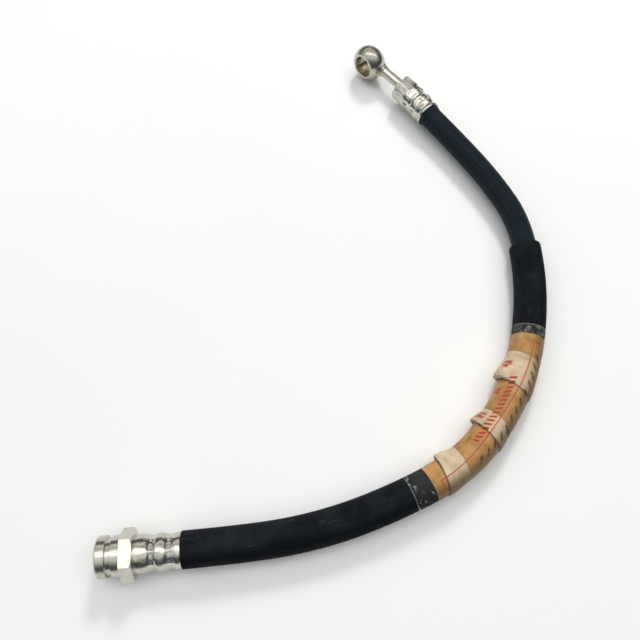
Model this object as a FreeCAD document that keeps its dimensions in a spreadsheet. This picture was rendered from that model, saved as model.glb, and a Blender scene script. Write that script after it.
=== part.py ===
import FreeCAD, Part
import math
import os

import Sketcher
from FreeCAD import Placement, Rotation, Vector

# Automotive hydraulic brake hose: a female M10 x 1 end, a rubber hose with two braids,
# a second rubber sleeve with a paper label under clear tape, and a banjo end.
# Millimetres. +Z is up and the assembly lies on z = 0. Both fittings have their own
# local axis: X runs along the fitting, and the origin is the mouth of its crimp shell.

ROUTE = [
    (-55.2, -116.9, 8.4),
    (-25.4, -114.3, 7.0),
    (5.1, -110.3, 7.0),
    (33.1, -101.8, 7.1),
    (66.1, -86.3, 7.3),
    (83.6, -67.8, 7.3),
    (98.1, -41.8, 7.3),
    (105.1, -8.3, 7.3),
    (104.1, 25.2, 7.4),
    (92.6, 49.2, 7.5),
    (75.1, 74.7, 7.9),
    (57.9, 97.4, 8.4),
]
ARC_SHARE = 0.45

DIMENSIONS = {
    # hose layers, by radius
    "bore_radius": 1.6,
    "liner_radius": 2.45,
    "inner_braid_radius": 3.0,
    "middle_rubber_radius": 3.4,
    "outer_braid_radius": 3.95,
    "cover_radius": 5.25,
    "sleeve_radius": 6.9,
    "label_radius": 7.1,
    "tape_radius": 7.25,
    # places along the hose, from its end inside the female shell
    "sleeve_end": 236.5,
    "label_start": 113.5,
    "label_end": 191.5,
    "tape_start": 105.0,
    "tape_end": 196.0,
    # female end
    "collar_length": 3.75,
    "collar_radius": 7.7,
    "collar_chamfer": 0.6,
    "clip_groove_length": 2.0,
    "clip_groove_radius": 6.5,
    "barrel_length": 3.35,
    "barrel_radius": 7.5,
    "hex_length": 4.6,
    "hex_flats": 17.0,
    "hex_chamfer": 0.9,
    "hex_front_chamfer": 0.2,
    "port_radius": 4.46,
    "port_depth": 10.0,
    "port_chamfer": 0.7,
    "relief_length": 1.7,
    "relief_radius": 4.9,
    "seat_height": 1.4,
    "seat_top_radius": 1.7,
    "seat_base_radius": 3.2,
    "passage_radius": 1.2,
    # crimp shells
    "shell_wall": 1.2,
    "shell_radius": 7.0,
    "female_shell_length": 17.0,
    "female_waist_radius": 6.25,
    "female_lip_radius": 6.5,
    "banjo_shell_length": 14.0,
    "banjo_shell_radius": 6.6,
    "banjo_waist_radius": 5.95,
    "banjo_lip_radius": 6.4,
    "lip_length": 0.5,
    "lip_depth": 0.15,
    "crimp_depth": 0.35,
    "female_near_crimp": 3.8,
    "female_far_crimp": 10.7,
    "banjo_near_crimp": 2.7,
    "banjo_far_crimp": 10.9,
    "dimple_radius": 5.95,
    "dimple_length": 2.6,
    "dimple_width": 2.9,
    "dimple_count": 8,
    # insert stems
    "stem_radius": 1.6,
    "stem_valley_radius": 1.42,
    "stem_shank_radius": 2.2,
    "stem_shank_length": 2.5,
    "stem_setback": 1.5,
    "barb_pitch": 3.0,
    "barb_land": 0.6,
    "barb_face": 0.15,
    # banjo socket, lug, neck and eye
    "socket_length": 6.9,
    "socket_flat_count": 12,
    "socket_flat_turn": 11.0,
    "socket_radius": 6.4,
    "socket_nose_radius": 5.5,
    "socket_nose_length": 0.6,
    "socket_nose_arc": 0.8,
    "socket_flat_radius": 6.1,
    "lug_start": 14.4,
    "lug_length": 6.9,
    "lug_width": 3.6,
    "lug_height": 0.25,
    "lug_groove": 0.7,
    "lug_ramp": 1.2,
    "lug_groove_depth": 0.3,
    "lug_turn": 22.0,
    "neck_radius": 2.45,
    "neck_socket_depth": 3.0,
    "neck_side": -0.92,
    "neck_lift": 0.2,
    "neck_bend": 4.8,
    "neck_bore_radius": 1.4,
    "braze_radius": 2.9,
    "braze_length": 0.8,
    "braze_gap": 0.3,
    "neck_wall_in_eye": 1.0,
    "eye_centre": 25.0,
    "eye_offset": 2.0,
    "eye_radius": 8.55,
    "eye_land_radius": 6.4,
    "eye_half_thickness": 4.8,
    "eye_barrel_arc": 6.43,
    "eye_bore_radius": 5.1,
    "eye_boss_length": 8.9,
    "eye_boss_radius": 2.7,
    "banjo_roll": 5.0,
}

doc = FreeCAD.newDocument("BrakeHose")
sheet = doc.addObject("Spreadsheet::Sheet", "Dimensions")
for row, (alias, value) in enumerate(DIMENSIONS.items(), start=1):
    sheet.set("A%d" % row, alias)
    sheet.set("B%d" % row, str(value))
    sheet.setAlias("B%d" % row, alias)
doc.recompute()
D = {alias: float(sheet.get(alias)) for alias in DIMENSIONS}

# ---------------------------------------------------------------- the hose's route


def route_edges(points):
    """Straight runs joined by tangent arcs, each arc as large as its two runs allow."""
    corners = [Vector(*point) for point in points]
    edges = []
    start = corners[0]
    for before, corner, after in zip(corners, corners[1:], corners[2:]):
        into = (corner - before).normalize()
        out = (after - corner).normalize()
        half_turn = into.getAngle(out) / 2
        reach = ARC_SHARE * min((corner - before).Length, (after - corner).Length)
        radius = reach / math.tan(half_turn)
        inward = (out - into).normalize()
        middle = corner + inward * (radius / math.cos(half_turn) - radius)
        arc_start = corner - into * reach
        arc_end = corner + out * reach
        edges.append(Part.LineSegment(start, arc_start).toShape())
        edges.append(Part.Arc(arc_start, middle, arc_end).toShape())
        print("arc radius %.1f, turn %.1f degrees" % (radius, math.degrees(2 * half_turn)))
        start = arc_end
    edges.append(Part.LineSegment(start, corners[-1]).toShape())
    return edges


def stretch(edges, start, end):
    """The part of the route between two lengths along it, as one wire."""
    pieces = []
    passed = 0.0
    for edge in edges:
        low = max(start, passed)
        high = min(end, passed + edge.Length)
        if high - low > 1e-6:
            span = edge.LastParameter - edge.FirstParameter
            first = edge.FirstParameter + span * (low - passed) / edge.Length
            last = edge.FirstParameter + span * (high - passed) / edge.Length
            pieces.append(edge.Curve.toShape(first, last))
        passed += edge.Length
    return Part.Wire(pieces)


def rod(wire, radius):
    """A solid round bar along the wire."""
    edge = wire.Edges[0]
    point = edge.valueAt(edge.FirstParameter)
    along = edge.tangentAt(edge.FirstParameter)
    disc = Part.Face(Part.Wire(Part.makeCircle(radius, point, along)))
    return wire.makePipe(disc)


def tube(edges, start, end, inner, outer):
    """A hollow layer of the hose between two lengths along the route."""
    wire = stretch(edges, start, end)
    solid = rod(wire, outer).cut(rod(wire, inner))
    expected = math.pi * (outer**2 - inner**2) * (end - start)
    print("tube %.1f to %.1f: volume %.1f, expected %.1f" % (start, end, solid.Volume, expected))
    return solid


route = route_edges(ROUTE)
route_length = sum(edge.Length for edge in route)
print("route length %.1f" % route_length)


def layer(label, inner, outer, start, end):
    """One layer of the hose as a feature of its own."""
    piece = doc.addObject("Part::Feature", label)
    piece.Label = label
    piece.Shape = tube(route, start, end, D[inner], D[outer])
    piece.Placement = Placement()
    return piece


def hose_layers():
    mouth = D["female_shell_length"] - D["shell_wall"]
    whole = (0.0, route_length)
    layer("hose_inner_liner", "bore_radius", "liner_radius", *whole)
    layer("hose_inner_braid", "liner_radius", "inner_braid_radius", *whole)
    layer("hose_middle_rubber", "inner_braid_radius", "middle_rubber_radius", *whole)
    layer("hose_outer_braid", "middle_rubber_radius", "outer_braid_radius", *whole)
    layer("hose_outer_cover", "outer_braid_radius", "cover_radius", *whole)
    layer("protective_sleeve", "cover_radius", "sleeve_radius", mouth, D["sleeve_end"])
    label_span = (D["label_start"], D["label_end"])
    layer("paper_label", "sleeve_radius", "label_radius", *label_span)


def clear_tape():
    """Tape over the label, with a narrow band stuck to the sleeve at each end."""
    label_start, label_end = D["label_start"], D["label_end"]
    over = tube(route, label_start, label_end, D["label_radius"], D["tape_radius"])
    lower = tube(route, D["tape_start"], label_start, D["sleeve_radius"], D["tape_radius"])
    upper = tube(route, label_end, D["tape_end"], D["sleeve_radius"], D["tape_radius"])
    piece = doc.addObject("Part::Feature", "clear_tape")
    piece.Label = "clear_tape"
    piece.Shape = over.fuse([lower, upper]).removeSplitter()
    piece.Placement = Placement()
    return piece


# ---------------------------------------------------------------- places of the fittings


def along_axis(mouth, direction, roll):
    """Local X along direction, local Z as near to up as it goes, then rolled about X."""
    ahead = Vector(direction).normalize()
    side = Vector(0, 0, 1).cross(ahead).normalize()
    up = ahead.cross(side)
    upright = Rotation(ahead, side, up, "XYZ")
    return Placement(mouth, upright.multiply(Rotation(Vector(1, 0, 0), roll)))


FIRST = Vector(*ROUTE[0])
LAST = Vector(*ROUTE[-1])
female_direction = (FIRST - Vector(*ROUTE[1])).normalize()
banjo_direction = (LAST - Vector(*ROUTE[-2])).normalize()
female_mouth = FIRST - female_direction * (D["female_shell_length"] - D["shell_wall"])
banjo_mouth = LAST - banjo_direction * (D["banjo_shell_length"] - D["shell_wall"])
FEMALE = along_axis(female_mouth, female_direction, 0.0)
BANJO = along_axis(banjo_mouth, banjo_direction, D["banjo_roll"])


def neck_root():
    """The neck's start, at the bottom of its hole, in the banjo end's own frame."""
    bottom = D["banjo_shell_length"] + D["socket_length"] - D["neck_socket_depth"]
    return Vector(bottom, D["neck_side"], D["neck_lift"])


# The neck and the eye have a frame of their own, with X along the neck from its root.
NECK = BANJO.multiply(Placement(neck_root(), Rotation(Vector(0, 0, 1), D["neck_bend"])))
NECK_END = "eye_centre - eye_bore_radius - neck_wall_in_eye"

# ---------------------------------------------------------------- sketches and bodies


def plane_of(body, role):
    return next(part for part in body.Origin.OriginFeatures if part.Role == role)


def new_body(label, place):
    body = doc.addObject("PartDesign::Body", label)
    body.Label = label
    body.Placement = place
    return body


def new_sketch(body, name, role, offset=None):
    sketch = body.newObject("Sketcher::SketchObject", name)
    sketch.AttachmentSupport = [(plane_of(body, role), "")]
    sketch.MapMode = "FlatFace"
    if offset is not None:
        sketch.AttachmentOffset = offset
    return sketch


def cell(text):
    """Turns plain aliases into references to the sheet."""
    words = []
    for word in text.split():
        words.append("Dimensions." + word if word in DIMENSIONS else word)
    return " ".join(words)


def value_of(text):
    return float(sheet.evalExpression(cell(text)))


def outline(sketch, corners, arcs=None):
    """A closed outline: corners are pairs of expressions, and arcs maps an edge's number
    to its radius expression and the sign of its turn."""
    arcs = arcs or {}
    points = [Vector(value_of(x), value_of(y), 0) for x, y in corners]
    count = len(points)
    for index, point in enumerate(points):
        following = points[(index + 1) % count]
        if index in arcs:
            radius = value_of(arcs[index][0])
            chord = following - point
            rise = math.sqrt(radius**2 - chord.Length**2 / 4)
            across = Vector(-chord.y, chord.x, 0).normalize() * arcs[index][1]
            centre = (point + following) / 2 + across * rise
            crown = centre - across * radius
            sketch.addGeometry(Part.Arc(point, crown, following), False)
        else:
            sketch.addGeometry(Part.LineSegment(point, following), False)
    # An arc is stored anticlockwise, so its first end may be the outline's next corner.
    first_end = {}
    for index, point in enumerate(points):
        start = sketch.getPoint(index, 1)
        first_end[index] = 1 if start.distanceToPoint(point) < 1e-6 else 2
    for index in range(count):
        after = (index + 1) % count
        last = 3 - first_end[index]
        sketch.addConstraint(Sketcher.Constraint("Coincident", index, last, after, first_end[after]))
    for index, (x_text, y_text) in enumerate(corners):
        end = first_end[index]
        for kind, text in (("DistanceX", x_text), ("DistanceY", y_text)):
            number = sketch.addConstraint(Sketcher.Constraint(kind, -1, 1, index, end, value_of(text)))
            sketch.setExpression("Constraints[%d]" % number, cell(text))
    for index, (text, _) in arcs.items():
        number = sketch.addConstraint(Sketcher.Constraint("Radius", index, value_of(text)))
        sketch.setExpression("Constraints[%d]" % number, cell(text))


def turned(body, name, corners, arcs=None):
    """A revolution about the body's X axis of an outline in its XY plane."""
    sketch = new_sketch(body, name + "_outline", "XY_Plane")
    outline(sketch, corners, arcs)
    feature = body.newObject("PartDesign::Revolution", name)
    feature.Profile = sketch
    feature.ReferenceAxis = (sketch, ["H_Axis"])
    feature.Angle = 360
    doc.recompute()
    return feature


def cut_checked(body, feature):
    """Recomputes and makes sure that the cut took material away."""
    before = feature.BaseFeature.Shape.Volume
    doc.recompute()
    if feature.Shape.Volume > before - 1e-3:
        feature.Reversed = not feature.Reversed
        doc.recompute()
    if feature.Shape.Volume > before - 1e-3:
        raise RuntimeError(feature.Name + " cuts nothing")


def polar_cut(body, name, sketch, depth_text, count_text):
    """A pocket repeated about the body's X axis."""
    pocket = body.newObject("PartDesign::Pocket", name)
    pocket.Profile = sketch
    pocket.setExpression("Length", cell(depth_text))
    pocket.Reversed = True
    cut_checked(body, pocket)
    pattern = body.newObject("PartDesign::PolarPattern", name + "_ring")
    pattern.Originals = [pocket]
    pattern.Axis = (plane_of(body, "X_Axis"), [""])
    pattern.Angle = 360
    pattern.setExpression("Occurrences", cell(count_text))
    body.Tip = pattern
    doc.recompute()
    return pattern


def rectangle(sketch, x_text, half_x_text, half_y_text):
    """A rectangle centred on the X axis, given by its middle and half sides."""
    low_x = "%s - %s" % (x_text, half_x_text)
    high_x = "%s + %s" % (x_text, half_x_text)
    low_y = "0 - %s" % half_y_text
    corners = [(low_x, low_y), (high_x, low_y), (high_x, half_y_text), (low_x, half_y_text)]
    outline(sketch, corners)


def crimp_dimples(body, name, middle_text):
    """One ring of flat crimp marks round a shell."""
    lift = Placement(Vector(0, 0, D["dimple_radius"]), Rotation())
    sketch = new_sketch(body, name + "_mark", "XY_Plane", lift)
    sketch.setExpression("AttachmentOffset.Base.z", cell("dimple_radius"))
    rectangle(sketch, middle_text, "dimple_length / 2", "dimple_width / 2")
    polar_cut(body, name, sketch, "shell_wall * 2", "dimple_count")


# ---------------------------------------------------------------- female end


def female_end_body():
    """Collar, clip groove, barrel and hex, with the threaded port, its relief groove and
    its conical seat inside. Its front face is the free end, and the hex's back face
    meets the crimp shell."""
    body = new_body("female_end_body", FEMALE)
    back = "female_shell_length"
    hex_front = back + " + hex_length"
    barrel_front = hex_front + " + barrel_length"
    groove_front = barrel_front + " + clip_groove_length"
    front = groove_front + " + collar_length"
    port_floor = front + " - port_depth"
    corner = "hex_flats / 2 / cos( 30deg )"
    slope = "hex_chamfer * tan( 30deg )"
    front_slope = "hex_front_chamfer * tan( 30deg )"
    turned(
        body,
        "female_blank",
        [
            (back, "stem_shank_radius"),
            (back, "%s - hex_chamfer" % corner),
            (back + " + " + slope, corner),
            (hex_front + " - " + front_slope, corner),
            (hex_front, "%s - hex_front_chamfer" % corner),
            (hex_front, "barrel_radius"),
            (barrel_front, "barrel_radius"),
            (barrel_front, "clip_groove_radius"),
            (groove_front, "clip_groove_radius"),
            (groove_front, "collar_radius"),
            (front + " - collar_chamfer", "collar_radius"),
            (front, "collar_radius - collar_chamfer"),
            (front, "port_radius + port_chamfer"),
            (front + " - port_chamfer", "port_radius"),
            (port_floor + " + relief_length", "port_radius"),
            (port_floor + " + relief_length", "relief_radius"),
            (port_floor, "relief_radius"),
            (port_floor, "seat_base_radius"),
            (port_floor + " + seat_height", "seat_top_radius"),
            (port_floor + " + seat_height", "passage_radius"),
            (back + " + stem_shank_length", "passage_radius"),
            (back + " + stem_shank_length", "stem_shank_radius"),
        ],
    )
    sketch = new_sketch(body, "hex_waste", "YZ_Plane")
    sketch.AttachmentOffset = Placement(Vector(0, 0, value_of(back)), Rotation())
    sketch.setExpression("AttachmentOffset.Base.z", cell(back))
    sketch.addGeometry(Part.Circle(Vector(), Vector(0, 0, 1), D["hex_flats"]), False)
    number = sketch.addConstraint(Sketcher.Constraint("Radius", 0, D["hex_flats"]))
    sketch.setExpression("Constraints[%d]" % number, cell("hex_flats"))
    sketch.addConstraint(Sketcher.Constraint("Coincident", 0, 3, -1, 1))
    hexagon(sketch)
    pocket = body.newObject("PartDesign::Pocket", "hex_flats_cut")
    pocket.Profile = sketch
    pocket.setExpression("Length", cell("hex_length"))
    pocket.Reversed = True
    cut_checked(body, pocket)
    body.Tip = pocket
    return body


def hexagon(sketch):
    """A hexagon with two flats level, added to a sketch that holds one circle."""
    radius = D["hex_flats"] / 2 / math.cos(math.radians(30))
    corners = [Vector(radius * math.cos(a), radius * math.sin(a), 0) for a in turns(6)]
    for index, corner in enumerate(corners):
        sketch.addGeometry(Part.LineSegment(corner, corners[(index + 1) % 6]), False)
    for index in range(6):
        after = 1 + (index + 1) % 6
        sketch.addConstraint(Sketcher.Constraint("Coincident", 1 + index, 2, after, 1))
    for index, angle in enumerate(turns(6)):
        for kind, wave in (("DistanceX", "cos"), ("DistanceY", "sin")):
            text = "hex_flats / 2 / cos( 30deg ) * %s( %ddeg )" % (wave, 60 * index)
            number = sketch.addConstraint(Sketcher.Constraint(kind, -1, 1, 1 + index, 1, value_of(text)))
            sketch.setExpression("Constraints[%d]" % number, cell(text))


def turns(count):
    return [2 * math.pi * index / count for index in range(count)]


def crimp_shell(label, place, names, dimple_places):
    """A pressed steel cup: its floor is held behind the fitting, and its wall is crimped
    on the hose in two rings with a waist between them."""
    length, radius, waist, lip = names
    body = new_body(label, place)
    first, second = dimple_places
    crimped = "dimple_radius + crimp_depth"
    corners = [
        (length, "stem_shank_radius"),
        (length, radius),
        ("%s + dimple_length" % second, radius),
        ("%s - dimple_length / 2" % second, crimped),
        ("( %s + %s ) / 2 + dimple_length / 3" % (first, second), waist),
        ("%s + dimple_length" % first, radius),
        ("%s - dimple_length / 2" % first, crimped),
        ("lip_length", "%s - lip_depth" % lip),
        ("0", lip),
        ("0", "cover_radius"),
        ("%s - shell_wall" % length, "cover_radius"),
        ("%s - shell_wall" % length, "stem_shank_radius"),
    ]
    turned(body, label + "_wall", corners)
    crimp_dimples(body, label + "_crimp_near", first)
    crimp_dimples(body, label + "_crimp_far", second)
    return body


def insert_stem(label, place, shell_length):
    """Barbed steel tube inside the liner, with a thicker shank pressed into the fitting."""
    body = new_body(label, place)
    shoulder = "%s - shell_wall" % shell_length
    corners = [
        ("stem_setback", "passage_radius"),
        ("%s + shell_wall + stem_shank_length" % shoulder, "passage_radius"),
        ("%s + shell_wall + stem_shank_length" % shoulder, "stem_shank_radius"),
        (shoulder, "stem_shank_radius"),
        (shoulder, "stem_radius"),
    ]
    barbs = int((value_of(shoulder) - D["stem_setback"]) / D["barb_pitch"])
    for index in range(barbs):
        peak = "%s - barb_pitch * %d" % (shoulder, index)
        corners.append(("%s - barb_land" % peak, "stem_radius"))
        corners.append(("%s - barb_land - barb_face" % peak, "stem_valley_radius"))
        corners.append(("%s - barb_pitch + barb_land" % peak, "stem_radius"))
    corners.append(("stem_setback", "stem_radius"))
    turned(body, label + "_turned", corners)
    return body


# ---------------------------------------------------------------- banjo end


def banjo_socket():
    """Steel block that joins the hose to the neck: a rounded nose, twelve long flats, and a
    hole for the neck, which leaves at a slight angle."""
    body = new_body("banjo_socket", BANJO)
    back = "banjo_shell_length"
    front = back + " + socket_length"
    nose = front + " - socket_nose_length"
    turned(
        body,
        "socket_turned",
        [
            (back, "stem_shank_radius"),
            (back, "socket_radius"),
            (nose, "socket_radius"),
            (front, "socket_nose_radius"),
            (front, "passage_radius"),
            (back + " + stem_shank_length", "passage_radius"),
            (back + " + stem_shank_length", "stem_shank_radius"),
        ],
        {2: ("socket_nose_arc", -1)},
    )
    tip_over = Rotation(Vector(1, 0, 0), -D["socket_flat_turn"])
    lift = Placement(tip_over.multVec(Vector(0, 0, D["socket_flat_radius"])), tip_over)
    sketch = new_sketch(body, "socket_flat", "XY_Plane", lift)
    middle = back + " + socket_length / 2"
    rectangle(sketch, middle, "( socket_length / 2 + lip_length )", "socket_radius / 3")
    polar_cut(body, "socket_flats", sketch, "shell_wall", "socket_flat_count")
    hole = new_sketch(body, "neck_hole", "YZ_Plane")
    tilt = Rotation(Vector(0, 0, 1), D["neck_bend"])
    across = Rotation(Vector(0, 1, 0), Vector(0, 0, 1), Vector(1, 0, 0), "XYZ")
    hole.AttachmentOffset = Placement(
        across.inverted().multVec(neck_root()), across.inverted().multiply(tilt).multiply(across)
    )
    hole.addGeometry(Part.Circle(Vector(), Vector(0, 0, 1), D["neck_radius"]), False)
    number = hole.addConstraint(Sketcher.Constraint("Radius", 0, D["neck_radius"]))
    hole.setExpression("Constraints[%d]" % number, cell("neck_radius"))
    hole.addConstraint(Sketcher.Constraint("Coincident", 0, 3, -1, 1))
    drilled = body.newObject("PartDesign::Pocket", "neck_hole_cut")
    drilled.Profile = hole
    drilled.setExpression("Length", cell("neck_socket_depth * 2"))
    drilled.Reversed = True
    cut_checked(body, drilled)
    body.Tip = drilled
    return body


def locating_lug(socket):
    """Lug with two ribs on the socket's side that keeps the fitting from turning on its
    seat. Its tip runs out past the socket's nose."""
    lug = doc.addObject("Part::Feature", "banjo_locating_lug")
    lug.Label = "banjo_locating_lug"
    low = D["socket_flat_radius"] - D["lug_height"]
    crown = D["socket_radius"] + D["lug_height"]
    start = D["lug_start"]
    tip = start + D["lug_length"]
    half = D["lug_width"] / 2
    side = [
        Vector(start, -half, low),
        Vector(start, -half, D["socket_radius"]),
        Vector(start + D["lug_ramp"], -half, crown),
        Vector(tip, -half, crown),
        Vector(tip, -half, low),
    ]
    blank = Part.Face(Part.makePolygon(side + side[:1])).extrude(Vector(0, 2 * half, 0))
    groove = D["lug_groove"]
    corner = Vector(start + D["lug_ramp"], -groove / 2, crown - D["lug_groove_depth"])
    groove_box = Part.makeBox(D["lug_length"], groove, 2 * D["lug_groove_depth"], corner)
    place = BANJO.multiply(Placement(Vector(), Rotation(Vector(1, 0, 0), D["lug_turn"])))
    blank.Placement = place
    groove_box.Placement = place.multiply(groove_box.Placement)
    lug.Shape = blank.cut(groove_box).cut(socket.Shape)
    return lug


def neck_tube():
    """Steel tube from the bottom of the socket's hole into the eye."""
    body = new_body("banjo_neck_tube", NECK)
    corners = [
        ("0", "neck_bore_radius"),
        ("0", "neck_radius"),
        (NECK_END, "neck_radius"),
        (NECK_END, "neck_bore_radius"),
    ]
    turned(body, "neck_turned", corners)
    return body


def braze_ring(label, start, toward):
    """Cone of braze in the corner between the neck and the part it enters."""
    body = new_body(label, NECK)
    end = "%s %s braze_length" % (start, toward)
    corners = [(start, "neck_radius"), (start, "braze_radius"), (end, "neck_radius")]
    turned(body, label + "_cone", corners)
    return body


def cylinder(name, radius, height, place):
    """A cylinder with its radius and height bound to the sheet."""
    solid = doc.addObject("Part::Cylinder", name)
    solid.setExpression("Radius", cell(radius))
    solid.setExpression("Height", cell(height))
    solid.Placement = place
    return solid


def combined(kind, name, base, tool):
    result = doc.addObject(kind, name)
    result.Base = base
    result.Tool = tool
    return result


def banjo_eye():
    """Barrel shaped eye with two flat sealing faces, a bolt bore and a boss for the neck."""
    barrel = doc.addObject("PartDesign::Body", "eye_barrel")
    barrel.Label = "eye_barrel_blank"
    sketch = new_sketch(barrel, "eye_section", "XY_Plane")
    outline(
        sketch,
        [
            ("eye_bore_radius", "0 - eye_half_thickness"),
            ("eye_land_radius", "0 - eye_half_thickness"),
            ("eye_land_radius", "eye_half_thickness"),
            ("eye_bore_radius", "eye_half_thickness"),
        ],
        {1: ("eye_barrel_arc", 1)},
    )
    ring = barrel.newObject("PartDesign::Revolution", "eye_ring")
    ring.Profile = sketch
    ring.ReferenceAxis = (sketch, ["V_Axis"])
    ring.Angle = 360
    doc.recompute()
    barrel.Placement = Placement(Vector(D["eye_centre"], D["eye_offset"], 0), Rotation())
    boss_start = Vector(D["eye_centre"] - D["eye_boss_length"], 0, 0)
    along_neck = Placement(boss_start, Rotation(Vector(0, 1, 0), 90))
    bolt_start = Vector(D["eye_centre"], D["eye_offset"] - 2 * D["eye_half_thickness"], 0)
    along_bolt = Placement(bolt_start, Rotation(Vector(1, 0, 0), -90))
    boss_length = "eye_boss_length - eye_bore_radius / 2"
    boss = cylinder("eye_boss", "eye_boss_radius", boss_length, along_neck)
    bolt = cylinder("eye_bolt_bore", "eye_bore_radius", "eye_half_thickness * 4", along_bolt)
    depth = "eye_boss_length - eye_bore_radius - neck_wall_in_eye"
    neck_hole = cylinder("eye_neck_hole", "neck_radius", depth, along_neck)
    passage = cylinder("eye_passage", "neck_bore_radius", "eye_boss_length", along_neck)
    solid = combined("Part::Fuse", "eye_solid", barrel, boss)
    bored = combined("Part::Cut", "eye_bored", solid, bolt)
    drilled = combined("Part::Cut", "eye_drilled", bored, neck_hole)
    eye = combined("Part::Cut", "banjo_eye", drilled, passage)
    eye.Label = "banjo_eye"
    eye.Placement = NECK
    doc.recompute()
    return eye


# ---------------------------------------------------------------- build, check and write

hose_layers()
clear_tape()
female_end_body()
crimp_shell(
    "female_crimp_shell",
    FEMALE,
    ("female_shell_length", "shell_radius", "female_waist_radius", "female_lip_radius"),
    ("female_near_crimp", "female_far_crimp"),
)
insert_stem("female_insert_stem", FEMALE, "female_shell_length")
crimp_shell(
    "banjo_crimp_shell",
    BANJO,
    ("banjo_shell_length", "banjo_shell_radius", "banjo_waist_radius", "banjo_lip_radius"),
    ("banjo_near_crimp", "banjo_far_crimp"),
)
insert_stem("banjo_insert_stem", BANJO, "banjo_shell_length")
locating_lug(banjo_socket())
neck_tube()
braze_ring("banjo_braze_ring_rear", "neck_socket_depth + braze_gap", "+")
braze_ring("banjo_braze_ring_front", "eye_centre - eye_boss_length", "-")
banjo_eye()
doc.recompute()

NODES = [
    "hose_inner_liner",
    "hose_inner_braid",
    "hose_middle_rubber",
    "hose_outer_braid",
    "hose_outer_cover",
    "protective_sleeve",
    "paper_label",
    "clear_tape",
    "female_end_body",
    "female_crimp_shell",
    "female_insert_stem",
    "banjo_crimp_shell",
    "banjo_insert_stem",
    "banjo_socket",
    "banjo_locating_lug",
    "banjo_neck_tube",
    "banjo_braze_ring_rear",
    "banjo_braze_ring_front",
    "banjo_eye",
]

for item in doc.Objects:
    if "Invalid" in item.State or "Error" in item.State:
        raise RuntimeError("%s failed: %s" % (item.Name, item.State))

os.makedirs("parts", exist_ok=True)
shapes = {}
for node in NODES:
    shape = doc.getObjectsByLabel(node)[0].Shape
    if shape.isNull() or not shape.isValid() or not shape.Solids:
        raise RuntimeError(node + " has no valid solid")
    shapes[node] = shape
for node, shape in shapes.items():
    shape.exportStep("parts/%s.step" % node)
    print("%s: %d solid, volume %.2f" % (node, len(shape.Solids), shape.Volume))
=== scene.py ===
"""Hydraulic brake hose: the looks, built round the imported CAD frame. Metres throughout;
sizes are written in millimetres times MM."""

import math

import bpy
import numpy as np
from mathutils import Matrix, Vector

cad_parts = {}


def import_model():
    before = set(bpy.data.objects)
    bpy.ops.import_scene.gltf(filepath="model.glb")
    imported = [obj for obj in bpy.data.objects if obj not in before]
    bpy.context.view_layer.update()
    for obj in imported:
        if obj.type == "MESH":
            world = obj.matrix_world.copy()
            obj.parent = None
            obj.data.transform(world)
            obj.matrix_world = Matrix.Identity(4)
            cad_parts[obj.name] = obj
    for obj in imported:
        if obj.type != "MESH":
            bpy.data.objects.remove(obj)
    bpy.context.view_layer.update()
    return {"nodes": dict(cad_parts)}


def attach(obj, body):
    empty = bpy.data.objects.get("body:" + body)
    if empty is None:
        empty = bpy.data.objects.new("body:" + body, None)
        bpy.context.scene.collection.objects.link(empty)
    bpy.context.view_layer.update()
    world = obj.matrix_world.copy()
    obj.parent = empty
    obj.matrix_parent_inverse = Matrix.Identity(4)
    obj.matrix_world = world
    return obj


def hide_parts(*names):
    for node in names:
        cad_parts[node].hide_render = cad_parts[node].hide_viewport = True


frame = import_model()
MM = 0.001

# ------------------------------------------------------------------ driving dimensions

# The route's corners, the same as the CAD tube's.
ROUTE = [
    (-0.0552, -0.1169, 0.0084),
    (-0.0254, -0.1143, 0.0070),
    (0.0051, -0.1103, 0.0070),
    (0.0331, -0.1018, 0.0071),
    (0.0661, -0.0863, 0.0073),
    (0.0836, -0.0678, 0.0073),
    (0.0981, -0.0418, 0.0073),
    (0.1051, -0.0083, 0.0073),
    (0.1041, 0.0252, 0.0074),
    (0.0926, 0.0492, 0.0075),
    (0.0751, 0.0747, 0.0079),
    (0.0579, 0.0974, 0.0084),
]
BORE_R = 1.6 * MM
COVER_R = 5.25 * MM
SWELLING = 0.5 * MM
SWELLING_LENGTH = 1.5 * MM
SWELLING_OFFSET = 0.4 * MM
SLEEVE_R = 6.9 * MM
LABEL_R = 7.0 * MM
FILM = 0.08 * MM
SHELL_WALL = 1.2 * MM
SLEEVE_END = 236.5 * MM
LABEL_START = 113.5 * MM
LABEL_END = 191.5 * MM
TAPE_START = 105.0 * MM
TAPE_END = 196.0 * MM
FLAP_AT = 189.0 * MM
FLAP_HEIGHT = 0.7 * MM

FEMALE_SHELL = 17.0 * MM
HEX_LENGTH = 4.6 * MM
HEX_FLATS = 17.0 * MM
BARREL_LENGTH = 3.35 * MM
BARREL_R = 7.5 * MM
GROOVE_LENGTH = 2.0 * MM
GROOVE_R = 6.5 * MM
COLLAR_LENGTH = 3.75 * MM
COLLAR_R = 7.7 * MM
PORT_R = 4.46 * MM
THREAD_R = 5.0 * MM
THREAD_PITCH = 1.0 * MM
PORT_DEPTH = 10.0 * MM
RELIEF_LENGTH = 1.7 * MM
RELIEF_R = 4.9 * MM
SHANK_R = 2.2 * MM
SHANK_LENGTH = 2.5 * MM
PASSAGE_R = 1.2 * MM
SEAT_HEIGHT = 1.4 * MM
SEAT_BASE_R = 3.2 * MM
SEAT_TOP_R = 1.7 * MM
HEX_BEVEL = 0.9 * MM
HEX_FRONT_BEVEL = 0.2 * MM
PORT_CHAMFER = 0.7 * MM
COLLAR_CHAMFER = 0.6 * MM

CRIMP_COUNT = 8

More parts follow.
